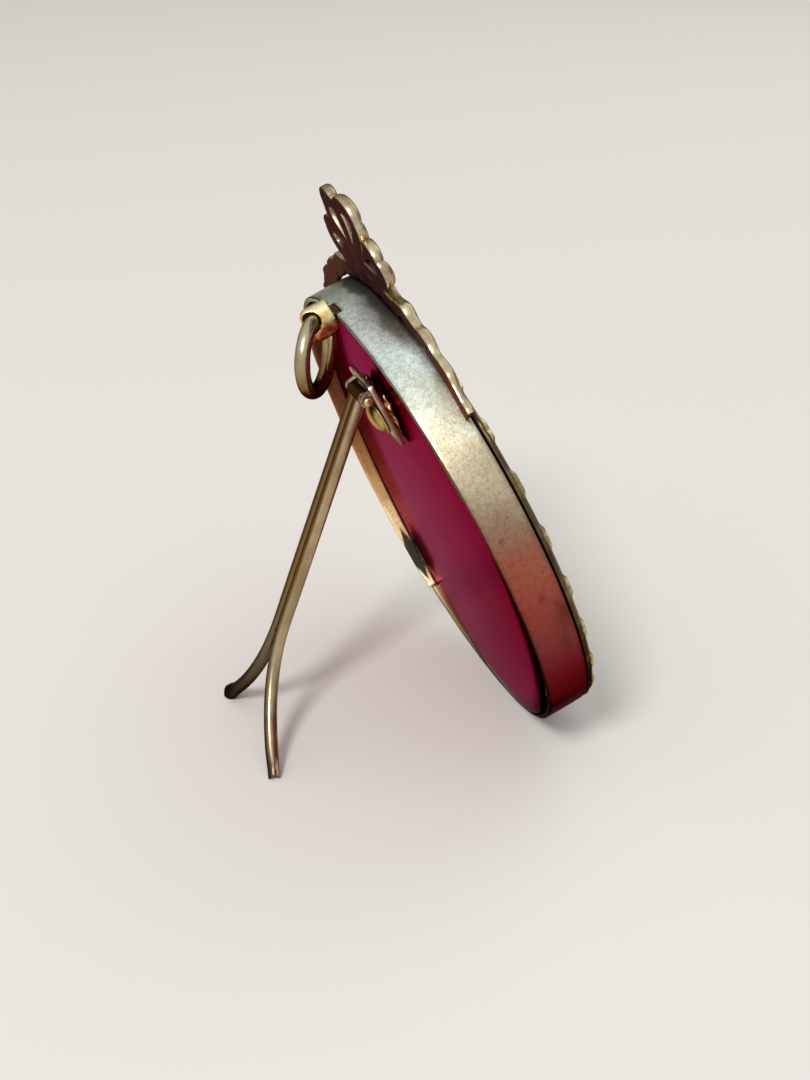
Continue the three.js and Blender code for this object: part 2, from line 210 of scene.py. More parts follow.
def newMaterial(name):
    material = bpy.data.materials.new(name)
    material.use_nodes = True
    return material, material.node_tree, material.node_tree.nodes["Principled BSDF"]


# Aged brass: clean metal clouded by tarnish in patches and fine dark specks. Above zero a point's value makes
# it bright, rubbed metal in some places and painted highlight in others; below zero it makes it dark, dirt in
# some places and painted shade in others. Heights give a tone by millimetres over the ground, which on the
# band, lug and ring is painted reflection. Metal shows its own colour in its reflections, so the other tones
# are the metal's own and the shine is satin.
heightToneSet = dict(wander=12, blend=0.85)  # millimetres that clouds shift the heights by, and the cover


def agedBrass(name, look):
    material, tree, shader = newMaterial(name)
    clean, tarnish, dark, bright = (linear(look[key]) for key in ("clean", "tarnish", "dark", "bright"))
    place = addNode(tree, "TexCoord").outputs["Object"]
    clouds = addNode(tree, "TexNoise", {
        "Vector": place, "Scale": 1 / (look["patch"] * mm), "Detail": 5.0, "Roughness": 0.62}).outputs["Fac"]
    cloudShare = addNode(tree, "MapRange", {
        "Value": clouds, "From Min": look["cloud"][0], "From Max": look["cloud"][1]},
        interpolation_type="SMOOTHSTEP").outputs["Result"]
    specks = addNode(tree, "TexNoise", {
        "Vector": place, "Scale": 1 / (look["speck"] * mm), "Detail": 3.0, "Roughness": 0.7}).outputs["Fac"]
    speckShare = addNode(tree, "MapRange", {
        "Value": specks, "From Min": 0.52, "From Max": 0.74, "To Max": look["speckle"]},
        interpolation_type="SMOOTHSTEP").outputs["Result"]
    wearAndLight = addNode(tree, "Attribute", attribute_name="wearAndLight").outputs["Fac"]
    if "edge" in look:  # edges that stand out are worn bright
        low, high, most = look["edge"]
        point = addNode(tree, "NewGeometry").outputs["Pointiness"]
        worn = addNode(tree, "MapRange", {
            "Value": point, "From Min": low, "From Max": high, "To Max": most}).outputs["Result"]
        wearAndLight = addNode(tree, "Math", {0: wearAndLight, 1: worn}, operation="MAXIMUM").outputs[0]
    dirtAndShade = addNode(tree, "Math", {0: wearAndLight, 1: -1.0}, operation="MULTIPLY").outputs[0]
    blotch = addNode(tree, "MapRange", {
        "Value": clouds, "From Min": 0.36, "From Max": 0.6, "To Min": 0.45, "To Max": 1.0}).outputs["Result"]
    wearAndLight = addNode(tree, "Math", {0: wearAndLight, 1: blotch}, operation="MULTIPLY").outputs[0]
    tone = addNode(tree, "Mix", {0: cloudShare, 6: clean, 7: tarnish}, data_type="RGBA").outputs[2]
    heightShare = 1.0
    if "heights" in look:  # the height tone, painted reflection on some pieces, wanders a little about its height
        parts = addNode(tree, "SeparateXYZ", {0: place}).outputs
        wander = addNode(tree, "Math", {
            0: clouds, 1: heightToneSet["wander"] * mm, 2: parts["Z"]}, operation="MULTIPLY_ADD").outputs[0]
        low, high, shift = look["heights"][0][0], look["heights"][-1][0], heightToneSet["wander"] / 2
        heightShare = addNode(tree, "MapRange", {
            "Value": wander, "From Min": (low + shift) * mm,
            "From Max": (high + shift) * mm}).outputs["Result"]
        ramp = addNode(tree, "ValToRGB", {"Fac": heightShare})
        stops = ramp.color_ramp.elements
        for k, (level, code) in enumerate(look["heights"]):
            at = (level - low) / (high - low)
            stop = stops[0] if k == 0 else stops[-1] if at == 1 else stops.new(at)
            stop.position = at
            stop.color = linear(code)
        blend = look.get("blend", heightToneSet["blend"])
        if "fade" in look:  # and the painted reflection of the height tones thins out across to the right side
            left, right, least = look["fade"]
            blend = addNode(tree, "MapRange", {
                "Value": parts["X"], "From Min": left * mm, "From Max": right * mm,
                "To Min": blend, "To Max": least}, interpolation_type="SMOOTHSTEP").outputs["Result"]
        tone = addNode(tree, "Mix", {
            0: blend, 6: tone, 7: ramp.outputs["Color"]}, data_type="RGBA").outputs[2]
    if "mottle" in look:  # soft cells of lighter and darker metal
        cell, depth = look["mottle"]
        cells = addNode(tree, "TexNoise", {
            "Vector": place, "Scale": 1 / (cell * mm), "Detail": 2.0, "Distortion": 0.6}).outputs["Fac"]
        shade = addNode(tree, "MapRange", {
            "Value": cells, "From Min": 0.42, "From Max": 0.68, "To Min": 1.0, "To Max": 1 - depth})
        tone = addNode(tree, "Mix", {
            0: heightShare, 6: tone, 7: shade.outputs["Result"]},
            data_type="RGBA", blend_type="MULTIPLY").outputs[2]
    if "spot" in look:  # a few dark pits
        spacing, reach = look["spot"]
        pits = addNode(tree, "TexVoronoi", {"Vector": place, "Scale": 1 / (spacing * mm)})
        pitShare = addNode(tree, "MapRange", {
            "Value": pits.outputs["Distance"], "From Min": reach, "From Max": reach * 0.4, "To Max": 0.75})
        tone = addNode(tree, "Mix", {
            0: pitShare.outputs["Result"], 6: tone, 7: dark}, data_type="RGBA").outputs[2]
    for share, colour in ((speckShare, dark), (dirtAndShade, dark), (wearAndLight, bright)):
        tone = addNode(tree, "Mix", {0: share, 6: tone, 7: colour}, data_type="RGBA").outputs[2]
    low, high = look["rough"]
    rough = addNode(tree, "MapRange", {
        "Value": clouds, "From Min": 0.3, "From Max": 0.7, "To Min": low, "To Max": high}).outputs["Result"]
    rough = addNode(tree, "Mix", {0: wearAndLight, 2: rough, 3: low * 0.8}).outputs[0]  # rubbed metal is smoother
    bump = addNode(tree, "Bump", {"Height": specks, "Strength": look["bump"], "Distance": 0.05 * mm})
    setInputs(tree, shader, {"Base Color": tone, "Specular Tint": tone, "Metallic": 1.0,
                             "Roughness": rough, "Normal": bump.outputs["Normal"]})
    return material


# Camera at the photograph's angle, for 810 by 1080: eye in millimetres, bearing and fall in degrees.
cameraSet = dict(eye=(-243.3, 93.55, 169.3), bearing=21.43, fall=27.0, lens=51.667, sensor=36.0, near=10)
camera = bpy.data.cameras.new("photoCamera")
camera.lens = cameraSet["lens"]
camera.sensor_width = cameraSet["sensor"]
camera.clip_start = cameraSet["near"] * mm
cameraObject = bpy.data.objects.new("photoCamera", camera)
bpy.context.scene.collection.objects.link(cameraObject)
cameraObject.location = [v * mm for v in cameraSet["eye"]]
cameraTurn = (90 - cameraSet["fall"], 0, -90 - cameraSet["bearing"])
cameraObject.rotation_euler = [math.radians(v) for v in cameraTurn]
bpy.context.scene.camera = cameraObject
print("camera placed")


# The band: a rounded bar section carried round the disc, a little uneven, with the lug's notch in its rear
# rim. The darkening near the crest fades between two angles, in radians, and two places along the band's
# depth.
# A blot is (degrees to the left, place along the depth, reach in both, darkness).
bandSet = dict(radius=44.97, wall=0.9, corner=0.2, crown=0.05, ripple=0.02, rimRipple=0.018,
               notchHalf=2.4, notchDepth=1.15, notchSoft=0.15, steps=720,
               crestDarkTurns=(0.52, 0.34), crestDarkFrom=(4.7, 5.7), crestDarkness=0.6, insideWearAndLight=0.7,
               blots=((93, 6.9, 4.0, 1.3, 0.6), (100, 5.6, 4.0, 0.9, 0.3),
                      (87, 4.3, 0.8, 0.45, 0.6), (71, 2.2, 0.6, 0.4, 0.6)))
# The band's tones by height are painted reflections: red-brown and crimson low down, thinning out towards the
# right side, and pale glare towards the top.
bandBrass = agedBrass("rolledBrassStrip", dict(
    clean="#c8ab70", tarnish="#8c774e", dark="#3a2d22", bright="#e6d8a8",
    heights=((0, "#501a26"), (14, "#66202e"), (22, "#7c2a3a"), (29, "#782538"), (37, "#84383c"),
             (44, "#9a3f3a"), (51, "#a45949"), (58, "#9d7f69"), (64, "#bbac91"), (70, "#beb295"),
             (76, "#d3d6c2"), (80, "#edfdf8"), (83, "#f4fff6"), (86, "#dce5de")),
    blend=0.95, fade=(-5.0, 25.0, 0.35), patch=10.0, cloud=(0.34, 0.66), speck=0.3, speckle=0.6,
    mottle=(0.75, 0.3), spot=(9.0, 0.06), rough=(0.26, 0.4), bump=0.4))


def makeBand():
    s = bandSet
    depth = discSet["depth"]
    notchTurns = np.arcsin((s["notchHalf"] + np.linspace(-0.4, 0.4, 9)) / s["radius"])
    turns = np.linspace(-math.pi, math.pi, s["steps"], endpoint=False)
    turns = np.unique(np.concatenate([turns, notchTurns, -notchTurns]))[:, None]
    loop = roundedLoop(s["wall"], depth, s["corner"], perSide=12)
    across, along = loop[None, :, 0], loop[None, :, 1]
    wave = np.sin(7 * turns + 1.3) + 0.6 * np.sin(13 * turns + 0.4 + 0.2 * along)
    wave = wave + 0.5 * np.sin(29 * turns + 2.0)
    crown = s["crown"] * (1 - (2 * along / depth - 1) ** 2)
    radius = s["radius"] - s["wall"] / 2 + across + crown + s["ripple"] * wave
    fromTop = np.abs(s["radius"] * np.sin(turns))
    notch = smoothStep(s["notchHalf"] + s["notchSoft"], s["notchHalf"] - s["notchSoft"], fromTop)
    notch = s["notchDepth"] * notch * (np.cos(turns) > 0)
    rim = notch + s["rimRipple"] * (np.sin(11 * turns) + np.sin(31 * turns + 1.0))
    z = along + rim * (1 - along / depth)
    points = discPlace(radius * np.sin(turns), radius * np.cos(turns), z)
    # the rims are dark, the front half is darker near the crest, and the inside is brighter
    outside = across > 0.3
    ragged = along + 0.5 * np.sin(17 * turns) + 0.35 * np.sin(41 * turns)
    nearCrestDark = smoothStep(*s["crestDarkTurns"], np.abs(turns)) * smoothStep(*s["crestDarkFrom"], ragged)
    wearAndLight = np.where(outside, -s["crestDarkness"] * nearCrestDark, s["insideWearAndLight"])
    wearAndLight = wearAndLight - 0.9 * smoothStep(0.28, 0.1, along) - 0.5 * smoothStep(0.3, 0.1, depth - along)
    uneven = 1 + 0.3 * np.sin(61 * turns + 2 * along) + 0.2 * np.sin(97 * turns - 3 * along)
    for at, high, wide, tall, darkness in s["blots"]:
        spot = ((np.degrees(turns) + at) / wide) ** 2 + ((along - high) / tall) ** 2
        wearAndLight = wearAndLight - darkness * np.exp(-spot * uneven) * outside
    makePiece("rimBand", [(points, True, True, wearAndLight)], bandBrass, "frame", ["rim_band"])


makeBand()
print("band made")


# The bezel: a moulding carried round the disc. Its height over the rear face is a lip, a bead channel, a
# hollow and a reeded border, which rises where pairs of crossing ribbons tie it.
bezelSet = dict(rear=8.2, sight=37.4, outer=44.85, lip=0.7, channel=(37.9, 39.4), channelDepth=0.25,
                hollowDepth=0.3, border=43.05, borderHalf=1.9, borderHeight=1.27, reeds=3, reedDepth=0.2,
                ties=28, tieTurn=2.0, tieHalf=0.75, tieSlant=36.0, tieHeight=0.45, tieBulge=0.08, tieSteps=44,
                beads=150, beadRadius=0.62, beadSink=0.05)
bezelBrass = agedBrass("castGiltBrassBorder", dict(
    clean="#8a7654", tarnish="#5e4f3b", dark="#352b20", bright="#e9d9a6",
    patch=6.0, cloud=(0.35, 0.65), speck=0.6, speckle=0.6, rough=(0.28, 0.45), bump=0.3))


# Beads in a row: each is a sphere, turned about the disc's axis to its place in the channel.
def beadSheets():
    s = bezelSet
    swing = np.linspace(0, math.pi, 8)[None, :, None]
    spin = fullTurn(10)[None, None, :]
    turns = fullTurn(s["beads"])[:, None, None]
    across = s["beadRadius"] * np.sin(swing) * np.cos(spin)
    outward = sum(s["channel"]) / 2 + s["beadRadius"] * np.sin(swing) * np.sin(spin)
    z = s["rear"] + s["lip"] - s["beadSink"] + s["beadRadius"] * np.cos(swing)
    x = across * np.cos(turns) + outward * np.sin(turns)
    y = outward * np.cos(turns) - across * np.sin(turns)
    wearAndLight = np.linspace(0.9, 0, 8)[:, None]  # bright on top
    return [(bead, False, True, wearAndLight) for bead in discPlace(x, y, z)]


def makeBezel():
    s = bezelSet
    outer, half, borderFrom = s["outer"], s["borderHalf"], s["border"] - s["borderHalf"]
    turns = fullTurn(s["ties"] * s["tieSteps"])[:, None]
    radius = np.concatenate([np.linspace(s["sight"], borderFrom, 18, endpoint=False),
                             np.linspace(borderFrom, outer - 0.05, 34)])[None, :]
    # place along the border from the middle of the nearest tie, and across it from the border's middle
    spacing = 2 * math.pi / s["ties"]
    fromTie = (turns - math.radians(s["tieTurn"]) + spacing / 2) % spacing - spacing / 2
    along, across = fromTie * s["border"], radius - s["border"]
    slant = math.radians(s["tieSlant"])
    strap = np.minimum(np.abs(along * math.cos(slant) - across * math.sin(slant)),
                       np.abs(along * math.cos(slant) + across * math.sin(slant)))
    tie = smoothStep(s["tieHalf"] + 0.5, s["tieHalf"] - 0.45, strap)
    dome = np.sqrt(np.clip(1 - (across / (half + 0.12)) ** 2, 0, 1))
    reed = np.abs(np.cos(math.pi * s["reeds"] * across / (2 * half)))
    channelFrom, channelTo = s["channel"]
    inChannel = smoothStep(channelFrom - 0.1, channelFrom + 0.2, radius)
    inChannel = inChannel * smoothStep(channelTo + 0.1, channelTo - 0.2, radius)
    hollow = np.sin(math.pi * smoothStep(channelTo, borderFrom, radius)) * (radius > channelTo)
    low = s["lip"] - s["channelDepth"] * inChannel - s["hollowDepth"] * hollow
    onBorder = smoothStep(half + 0.1, half - 0.35, np.abs(across))
    reeded = s["borderHeight"] * (0.45 + 0.55 * dome) - s["reedDepth"] * (1 - reed) * (1 - tie)
    raised = low * (1 - onBorder) + (reeded + s["tieHeight"] * tie) * onBorder
    height = np.where(np.abs(across) < half + 0.1, raised, low)
    height = np.where(radius > outer - 0.3, height * 0.85, height)
    front = discPlace(radius * np.sin(turns), radius * np.cos(turns), s["rear"] + height)
    # the outer side, which bulges at the ties, the flat rear and the sight edge close the moulding
    lastTie, lastHeight = tie[:, -1:], height[:, -1:]
    backRadius = np.array([outer, outer, outer - 0.15, *np.linspace(outer - 1, s["sight"], 4)])
    backRadius = backRadius + s["tieBulge"] * lastTie * np.array([1, 1, 0, 0, 0, 0, 0])
    backHeight = lastHeight * np.array([0.75, 0.3, 0, 0, 0, 0, 0])
    rear = discPlace(backRadius * np.sin(turns), backRadius * np.cos(turns), s["rear"] + backHeight)
    wearAndLight = np.clip(0.75 * tie + 0.45 * reed ** 4, 0, 1) * onBorder
    # the outer side, the rear and the sight edge are darkened, painted shade, a little less where the ties
    # bulge
    wearAndLight = np.concatenate([wearAndLight, np.repeat(0.3 * lastTie - 0.75, 7, axis=1)], axis=1)
    sheets = [(np.concatenate([front, rear], axis=1), True, True, wearAndLight), *beadSheets()]
    makePiece("frontBezel", sheets, bezelBrass, "frame", ["front_bezel"])


makeBezel()
print("bezel made")


# The crest: ribbons with a flat back, cut edges and a furrowed front, along the bow's loops and tails. Outer
# cut edges are bright, worn metal and painted highlight, and inner walls are dark with painted shade.
# A loop is (degrees from the top, length, bulge, places of its notches), and a tail's places are in degrees.
crestSet = dict(rear=7.7, thick=2.2, edge=1.4, furrow=0.3, knot=51.2, ribbon=1.8, inner=1.4, scallop=0.8,
                loops=((23, 11.4, 5.2, (0.75, 2.45, 3.75, 5.5)), (83, 11.9, 4.3, (1.1, 2.3, 3.35, 5.2))),
                loopStart=0.15, loopWave=0.1, notchThin=0.28,
                knotSize=(3.1, 2.7, 1.35), knotLift=1.6, knotFurrow=0.25, stemFrom=47.2, stemHalf=3.4,
                tailRadius=47.8, tailWave=0.35, tailHalf=2.0, tailEnd=46.0, tailInner=45.3, tailSink=0.9,
                tailFrom=12.5, tailWhole=19.0, tailTaper=0.45, tailRoot=0.35, tailThin=0.35,
                waves=3.0, sway=0.4, gaps=(0.4, 7.0, 17.5, 27.0), gapDepth=1.0, gapHalf=1.0)
crestBrass = agedBrass("castGiltBrassBow", dict(
    clean="#80605c", tarnish="#5f4340", dark="#2a1c1a", bright="#dcd0a6",
    patch=4.0, cloud=(0.35, 0.65), speck=0.45, speckle=0.5, rough=(0.26, 0.52), bump=0.35))


# Section of the ribbon: (across from -1 to 1, height over the back, wear-and-light value), a closed loop.
def ribbonSection(leftWearAndLight, rightWearAndLight):
    s = crestSet
    w = np.linspace(-1, 1, 15)
    crown = (1 - np.abs(w) ** 2.4) ** 0.6
    frontHeight = s["edge"] + (s["thick"] - s["edge"]) * crown - s["furrow"] * np.exp(-(w / 0.2) ** 2)
    front = np.stack([w * 0.97, frontHeight, 0.55 + 0.4 * crown], 1)
    wall = np.array([[1, s["edge"] * 0.9, 0.95], [1, s["edge"] * 0.5, 1.0], [1, 0.12, 0.9]])
    back = np.stack([np.linspace(0.95, -0.95, 9), np.zeros(9), np.zeros(9)], 1)
    return np.concatenate([front, wall * [1, 1, rightWearAndLight], back, wall[::-1] * [-1, 1, leftWearAndLight]])


# A ribbon along a plane line, with a half width and a wear-and-light value to each side, a lift off its plane
# and a thinning.
def ribbonSheet(line, left, right, lift, thin=1.0, endWearAndLight=0.0, backWearAndLight=0.0):
    halfLeft, leftWearAndLight = left
    halfRight, rightWearAndLight = right
    w, height, wearAndLight = ribbonSection(leftWearAndLight, rightWearAndLight).T[:, None, :]
    along = np.gradient(line, axis=0)
    along /= np.linalg.norm(along, axis=1, keepdims=True)
    aside = np.stack([along[:, 1], -along[:, 0]], 1)
    reach = np.where(w > 0, halfRight[:, None], halfLeft[:, None]) * w
    x = line[:, :1] + aside[:, :1] * reach
    y = line[:, 1:] + aside[:, 1:] * reach
    z = crestSet["rear"] + height * np.reshape(thin, (-1, 1)) + lift[:, None]
    wearAndLight = np.broadcast_to(wearAndLight + np.reshape(backWearAndLight, (-1, 1)) * (height == 0), x.shape)
    wearAndLight = np.concatenate([wearAndLight[:1], wearAndLight, np.maximum(wearAndLight[-1:], endWearAndLight)])
    return closeEnds(discPlace(x, y, z)), False, True, wearAndLight


# A loop goes out from the knot and back: its reach is (1 - cos t)/2 and its spread sin(t) sin(t/2)^2.
# Its outer edge has lobes between the notches.
def loopSheet(hand, turn, length, bulge, notches):
    s = crestSet
    t = np.linspace(s["loopStart"], 2 * math.pi - s["loopStart"], 161)
    reach = length * (1 - np.cos(t)) / 2
    spread = bulge * np.sin(t) * np.sin(t / 2) ** 2
    a = math.radians(turn)
    x = hand * (reach * math.sin(a) + spread * math.cos(a))
    y = s["knot"] + reach * math.cos(a) - spread * math.sin(a)
    swell = np.sin(t / 2)
    taper = 0.75 + 0.25 * swell
    count = np.interp(t, [0, *notches, 2 * math.pi], np.arange(len(notches) + 2))
    lobe = np.abs(np.sin(math.pi * count)) ** 0.55
    # the outer edge is bright, worn metal and painted highlight
    inner = (s["inner"] * taper, 0.3)
    outer = (s["ribbon"] * taper + s["scallop"] * (lobe - 0.75) * swell, 0.85)
    left, right = (outer, inner) if hand < 0 else (inner, outer)
    lift = s["loopWave"] * np.sin(3 * t) * swell
    return ribbonSheet(np.stack([x, y], 1), left, right, lift, 1 - s["notchThin"] * (1 - lobe) * swell)


# A tail sways off the band and back, with small gaps near the top, and its outer edge starts past the loops.
def tailSheet(hand):
    s = crestSet
    share = np.linspace(-0.02, 1, 260)
    far = np.clip(share, 0, 1) ** 3
    degrees = s["tailEnd"] * share
    turns = hand * np.radians(degrees)
    radius = s["tailRadius"] + s["tailWave"] * np.sin(3 * math.pi * share)
    free = smoothStep(s["tailFrom"], s["tailWhole"], degrees)
    wave = (degrees - s["tailWhole"]) / (s["tailEnd"] - s["tailWhole"])
    wave = np.cos(2 * math.pi * s["waves"] * wave)
    gaps = sum(np.exp(-((degrees - gap) / s["gapHalf"]) ** 4) for gap in s["gaps"])
    inner = radius - s["tailInner"] - s["gapDepth"] * gaps - s["sway"] * free * (1 + wave) / 2
    outer = s["tailHalf"] * (1 - s["tailTaper"] * far) + 0.28 * wave + 0.1 * np.sin(1.7 * degrees)
    outer = s["tailRoot"] + (outer - s["tailRoot"]) * free
    # the outer edge is bright, worn metal and painted highlight, and the inner wall is dark with painted
    # shade
    left, right = ((inner, -0.6), (outer, 0.9)) if hand < 0 else ((outer, 0.9), (inner, -0.6))
    thin = 1 - s["tailThin"] * smoothStep(0.3, 1.0, share) + 0.08 * wave
    line = np.stack([radius * np.sin(turns), radius * np.cos(turns)], 1)
    return ribbonSheet(line, left, right, -s["tailSink"] * far, thin, 1.0, 0.12 * free)


# The knot is a cushion over the crossing, an ellipsoid with a furrow down its middle.
def knotSheet():
    s = crestSet
    swing = np.linspace(0, math.pi, 25)[:, None]
    spin = fullTurn(48)[None, :]
    front = np.clip(np.cos(swing), 0, 1)
    halfX, halfY, halfZ = s["knotSize"]
    x = halfX * np.sin(swing) * np.cos(spin)
    y = s["knot"] + halfY * np.sin(swing) * np.sin(spin)
    z = s["rear"] + s["knotLift"] + halfZ * np.cos(swing) - s["knotFurrow"] * np.exp(-(x / 0.5) ** 2) * front
    return discPlace(x, y, z), False, True, 0.4 + 0.5 * front


def makeCrest():
    s = crestSet
    sheets = []
    for hand in (-1, 1):
        sheets += [loopSheet(hand, *loop) for loop in s["loops"]]
        sheets.append(tailSheet(hand))
    sheets.append(knotSheet())
    # a broad stem joins the knot to the tails
    stem = np.stack([np.zeros(12), np.linspace(s["stemFrom"], s["knot"], 12)], 1)
    stemSide = (np.full(12, s["stemHalf"]), 0.1)
    sheets.append(ribbonSheet(stem, stemSide, stemSide, np.full(12, 0.01)))
    makePiece("bowCrest", sheets, crestBrass, "frame", ["bow_crest"], 60)


makeCrest()
print("crest made")


# The back plate tilts in the band. backPlace takes its own axes, with z 0 on its rear face.
backSet = dict(recess=1.3, tilt=1.9, skew=1.7, radius=43.4, thick=0.8, corner=0.2, dish=0.048,
               rimShade=(0.4, 0.12))
backTurn = turnAbout(0, backSet["tilt"]) @ turnAbout(1, -backSet["skew"])


def backPlace(points):  # (..., 3) in millimetres
    turned = points @ backTurn.T
    return discPlace(turned[..., 0], turned[..., 1], turned[..., 2] + backSet["recess"])


# Oxblood lacquer over polished sheet metal, made a red metal so that reflections come back deep red: a
# painted red reflection on a dark plate. Fine hairline scratches run up the plate, and painted shade darkens
# its rim.
lacquerSet = dict(deep="#92263c", pale="#a83650", scratch="#5c1028", sheen="#b24474", rimShade="#24080f",
                  patch=14.0, hair=0.9, hairRun=0.06, rough=(0.1, 0.18))


def makeLacquer():
    s = lacquerSet
    material, tree, shader = newMaterial("oxbloodPlatePaintedRedReflection")
    place = addNode(tree, "TexCoord").outputs["Object"]
    clouds = addNode(tree, "TexNoise", {
        "Vector": place, "Scale": 1 / (s["patch"] * mm), "Detail": 4.0}).outputs["Fac"]
    stretch = addNode(tree, "Mapping", {"Vector": place, "Scale": (1.0, s["hairRun"], s["hairRun"])})
    hair = addNode(tree, "TexNoise", {
        "Vector": stretch.outputs["Vector"], "Scale": 1 / (s["hair"] * mm), "Detail": 3.0, "Roughness": 0.6})
    hairShare = addNode(tree, "MapRange", {
        "Value": hair.outputs["Fac"], "From Min": 0.6, "From Max": 0.74, "To Max": 0.35}).outputs["Result"]
    rim = addNode(tree, "Attribute", attribute_name="wearAndLight").outputs["Fac"]
    tone = linear(s["deep"])
    for share, key in ((clouds, "pale"), (hairShare, "scratch"), (rim, "rimShade")):
        tone = addNode(tree, "Mix", {0: share, 6: tone, 7: linear(s[key])}, data_type="RGBA").outputs[2]
    sheen = addNode(tree, "Mix", {
        0: rim, 6: linear(s["sheen"]), 7: linear(s["rimShade"])}, data_type="RGBA").outputs[2]
    rough = addNode(tree, "MapRange", {
        "Value": clouds, "From Min": 0.3, "From Max": 0.7, "To Min": s["rough"][0], "To Max": s["rough"][1]})
    setInputs(tree, shader, {"Base Color": tone, "Specular Tint": sheen, "Metallic": 1.0,
                             "Roughness": rough.outputs["Result"]})
    return material


# A rounded profile turned about the plate's axis, with a slight sag that grows towards the rim.
def makeBack():
    s = backSet
    turns = fullTurn(240)[None, :]
    loop = roundedLoop(2 * s["radius"], s["thick"], s["corner"], perSide=30)
    loop = loop[loop[:, 0] >= 0]
    profile = np.roll(loop, -np.argmin(loop.sum(axis=1)), axis=0)  # from the rear's middle to the front's
    radius, z = profile[:, :1], profile[:, 1:]
    share = radius / s["radius"]
    sag = s["dish"] * (np.cos(2 * turns + 0.5) * share ** 2 + 0.3 * np.sin(3 * turns) * share)
    points = pointGrid(radius * np.sin(turns), radius * np.cos(turns), z + sag)
    rimShade = smoothStep(*(s["radius"] - np.array(s["rimShade"])), radius)
    rimShade = rimShade * smoothStep(0.6, 0.1, np.sin(turns))  # painted shade in the gap along the left and lower edge
    makePiece("backPlate", [(backPlace(points), False, True, rimShade)], makeLacquer(), "frame",
              ["back_plate"])


makeBack()
print("back plate made")


# The retaining strip: a bar section carried round the band's inside from one end to the other, in degrees.
# Its front edge follows the back plate, its rear edge tilts, and a nick marks where the burnt patch ends.
stripSet = dict(outer=43.8, thick=1.0, rise=0.3, tilt=0.75, leftEnd=60.0, rightEnd=143.0, gap=0.08,
                corner=0.15, burntFrom=124.0, burntTo=141.0, nickDepth=0.25, nickHalf=0.7)
stripBrass = agedBrass("springBrassStrip", dict(
    clean="#d8b07c", tarnish="#a8784e", dark="#1d2224", bright="#fbf0d0",
    heights=((14, "#f4e6b8"), (21, "#f2dfac"), (28, "#e4c488"), (36, "#c89a60"), (45, "#9a6c44"),
             (54, "#74492f"), (80, "#52302a")),
    patch=4.0, cloud=(0.42, 0.68), mottle=(1.1, 0.5), speck=0.5, speckle=0.5, rough=(0.52, 0.68), bump=0.5))


def makeStrip():
    s = stripSet
    degrees = np.linspace(-s["leftEnd"], s["rightEnd"], 300)[:, None]
    turns = np.radians(degrees)
    loop = roundedLoop(s["thick"], 1.0, s["corner"], perSide=6)
    across, share = loop[None, :, 0], loop[None, :, 1]
    radius = s["outer"] - s["thick"] / 2 + across + 0.04 * np.sin(17 * turns) + 0.03 * np.sin(41 * turns + 1)
    x, y = radius * np.sin(turns), radius * np.cos(turns)
    normal = backTurn[:, 2]
    front = backSet["recess"] - (normal[0] * x + normal[1] * y) / normal[2] - s["gap"]
    nick = s["nickDepth"] * np.exp(-((degrees - s["burntTo"]) / s["nickHalf"]) ** 2)
    rear = -s["rise"] + math.tan(math.radians(s["tilt"])) * y + nick + 0.03 * np.sin(23 * turns)
    points = discPlace(x, y, rear * (1 - share) + front * share)
    # the burnt patch is a diamond, |along| + 0.6 |across| < 1, and the cut end is bright
    middle, reach = (s["burntFrom"] + s["burntTo"]) / 2, (s["burntTo"] - s["burntFrom"]) / 2
    diamond = np.abs(degrees - middle) / reach + 0.6 * np.abs(2 * share - 1)
    cut = smoothStep(s["rightEnd"] - 1.2, s["rightEnd"] - 0.6, degrees)
    wearAndLight = cut * 0.8 - 0.95 * smoothStep(1.12, 0.95, diamond)
    wearAndLight = np.concatenate([wearAndLight[:1], wearAndLight, wearAndLight[-1:]])
    makePiece("retainingStrip", [(closeEnds(points), False, True, wearAndLight)], stripBrass, "frame",
              ["retaining_strip"])


makeStrip()
print("strip made")


# The hinge: a leaf that stands off the back at its top, a boss that fixes it, and a pin through its knuckles.
hingeSet = dict(leafBottom=17.4, leafTilt=7.0, leafGap=0.3, leafThick=0.9, leafBevel=0.16,
                brightEndFrom=(1.9, 1.3), seat=0.15,
                bossAt=22.4, bossRadius=3.0, bossHeight=1.9, brimRadius=3.75, brimHeight=0.35,
                pinRadius=0.55, headRadius=0.85, headFrom=4.65, headTo=5.25, headRim=0.15,
                solderX=5.1, solderLow=20.0, solderHigh=28.6, solderHalf=1.9)
leafTurn = turnAbout(0, -hingeSet["leafTilt"])
hingeBrass = agedBrass("pressedBrassSheet", dict(
    clean="#84604a", tarnish="#563a30", dark="#2a1b17", bright="#f6e4cc", edge=(0.51, 0.58, 0.9),
    patch=2.5, cloud=(0.36, 0.64), speck=0.45, speckle=0.7, rough=(0.26, 0.45), bump=0.4))
rivetBrass = agedBrass("turnedBrassRivet", dict(
    clean="#c9a863", tarnish="#94713d", dark="#4a371d", bright="#efdca0",
    patch=2.0, cloud=(0.4, 0.68), speck=0.4, speckle=0.4, rough=(0.32, 0.46), bump=0.2))
solderBrass = agedBrass("solderAndPaintedLight", dict(
    clean="#b98d58", tarnish="#6b4526", dark="#2c1c12", bright="#e8cfa0",
    patch=1.2, cloud=(0.4, 0.6), speck=0.35, speckle=0.6, rough=(0.24, 0.45), bump=0.8))


def leafPlace(points):  # the leaf's own axes, with z 0 on its front face and y 0 at its bottom
    return backPlace(points @ leafTurn.T + np.array([0.0, hingeSet["leafBottom"], -hingeSet["leafGap"]]))


